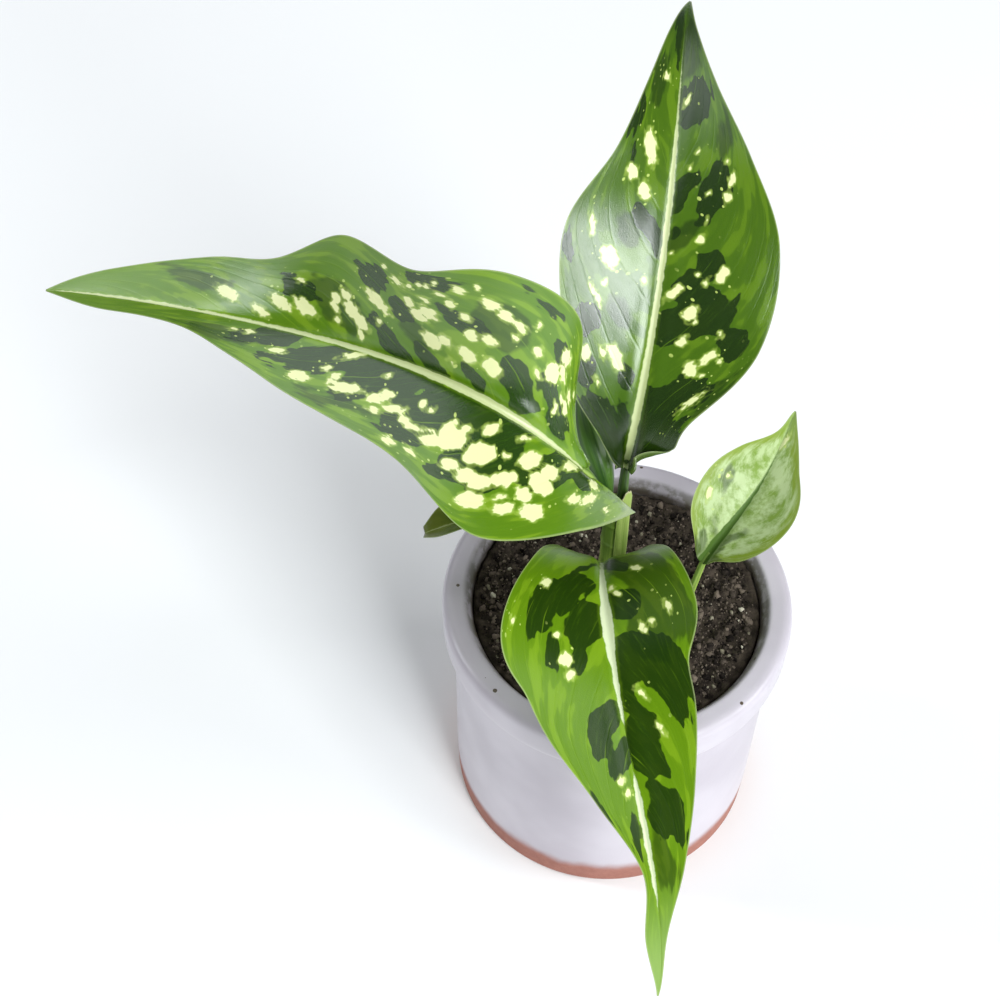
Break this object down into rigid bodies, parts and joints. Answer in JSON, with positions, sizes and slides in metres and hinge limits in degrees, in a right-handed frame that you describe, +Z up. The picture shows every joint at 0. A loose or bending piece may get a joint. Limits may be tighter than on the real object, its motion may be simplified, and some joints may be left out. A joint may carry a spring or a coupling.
{
  "type": "potted aglaonema",
  "caption": "Young aroid house plant with splashed pointed leaves, standing in soil in a small round glazed pot with a rolled collar.",
  "frame": {"origin": "centre of the pot's flat underside, on the surface it stands on", "axes": "+Z up along the pot's axis, -Y towards the viewer of the picture, +X to the right"},
  "size_m": [0.2142, 0.2184, 0.2133],
  "materials": {
    "pot_glaze": "pale lilac white glaze over reddish clay, glossy",
    "soil": "dark brown potting mix with pale grit, matt",
    "cane": "smooth pale green, satin",
    "sheath": "dry papery sheath, grey green",
    "leaf_back": "glossy mid green with dark patches and cream spots",
    "leaf_left": "glossy mid green with dense cream splashes",
    "leaf_front": "glossy mid green with dark patches and a cream midrib",
    "leaf_small": "pale grey green new leaf, satin",
    "leaf_low": "olive green old leaf, satin",
    "leaf_rolled": "dark green rolled leaf, satin"
  },
  "bodies": {
    "root": {"pot": "pot_glaze", "soil": "soil", "cane": "cane", "sheath": "sheath", "leaf_back": "leaf_back", "leaf_left": "leaf_left", "leaf_front": "leaf_front", "leaf_small": "leaf_small", "leaf_low": "leaf_low", "leaf_rolled": "leaf_rolled"}
  },
  "joints": []
}
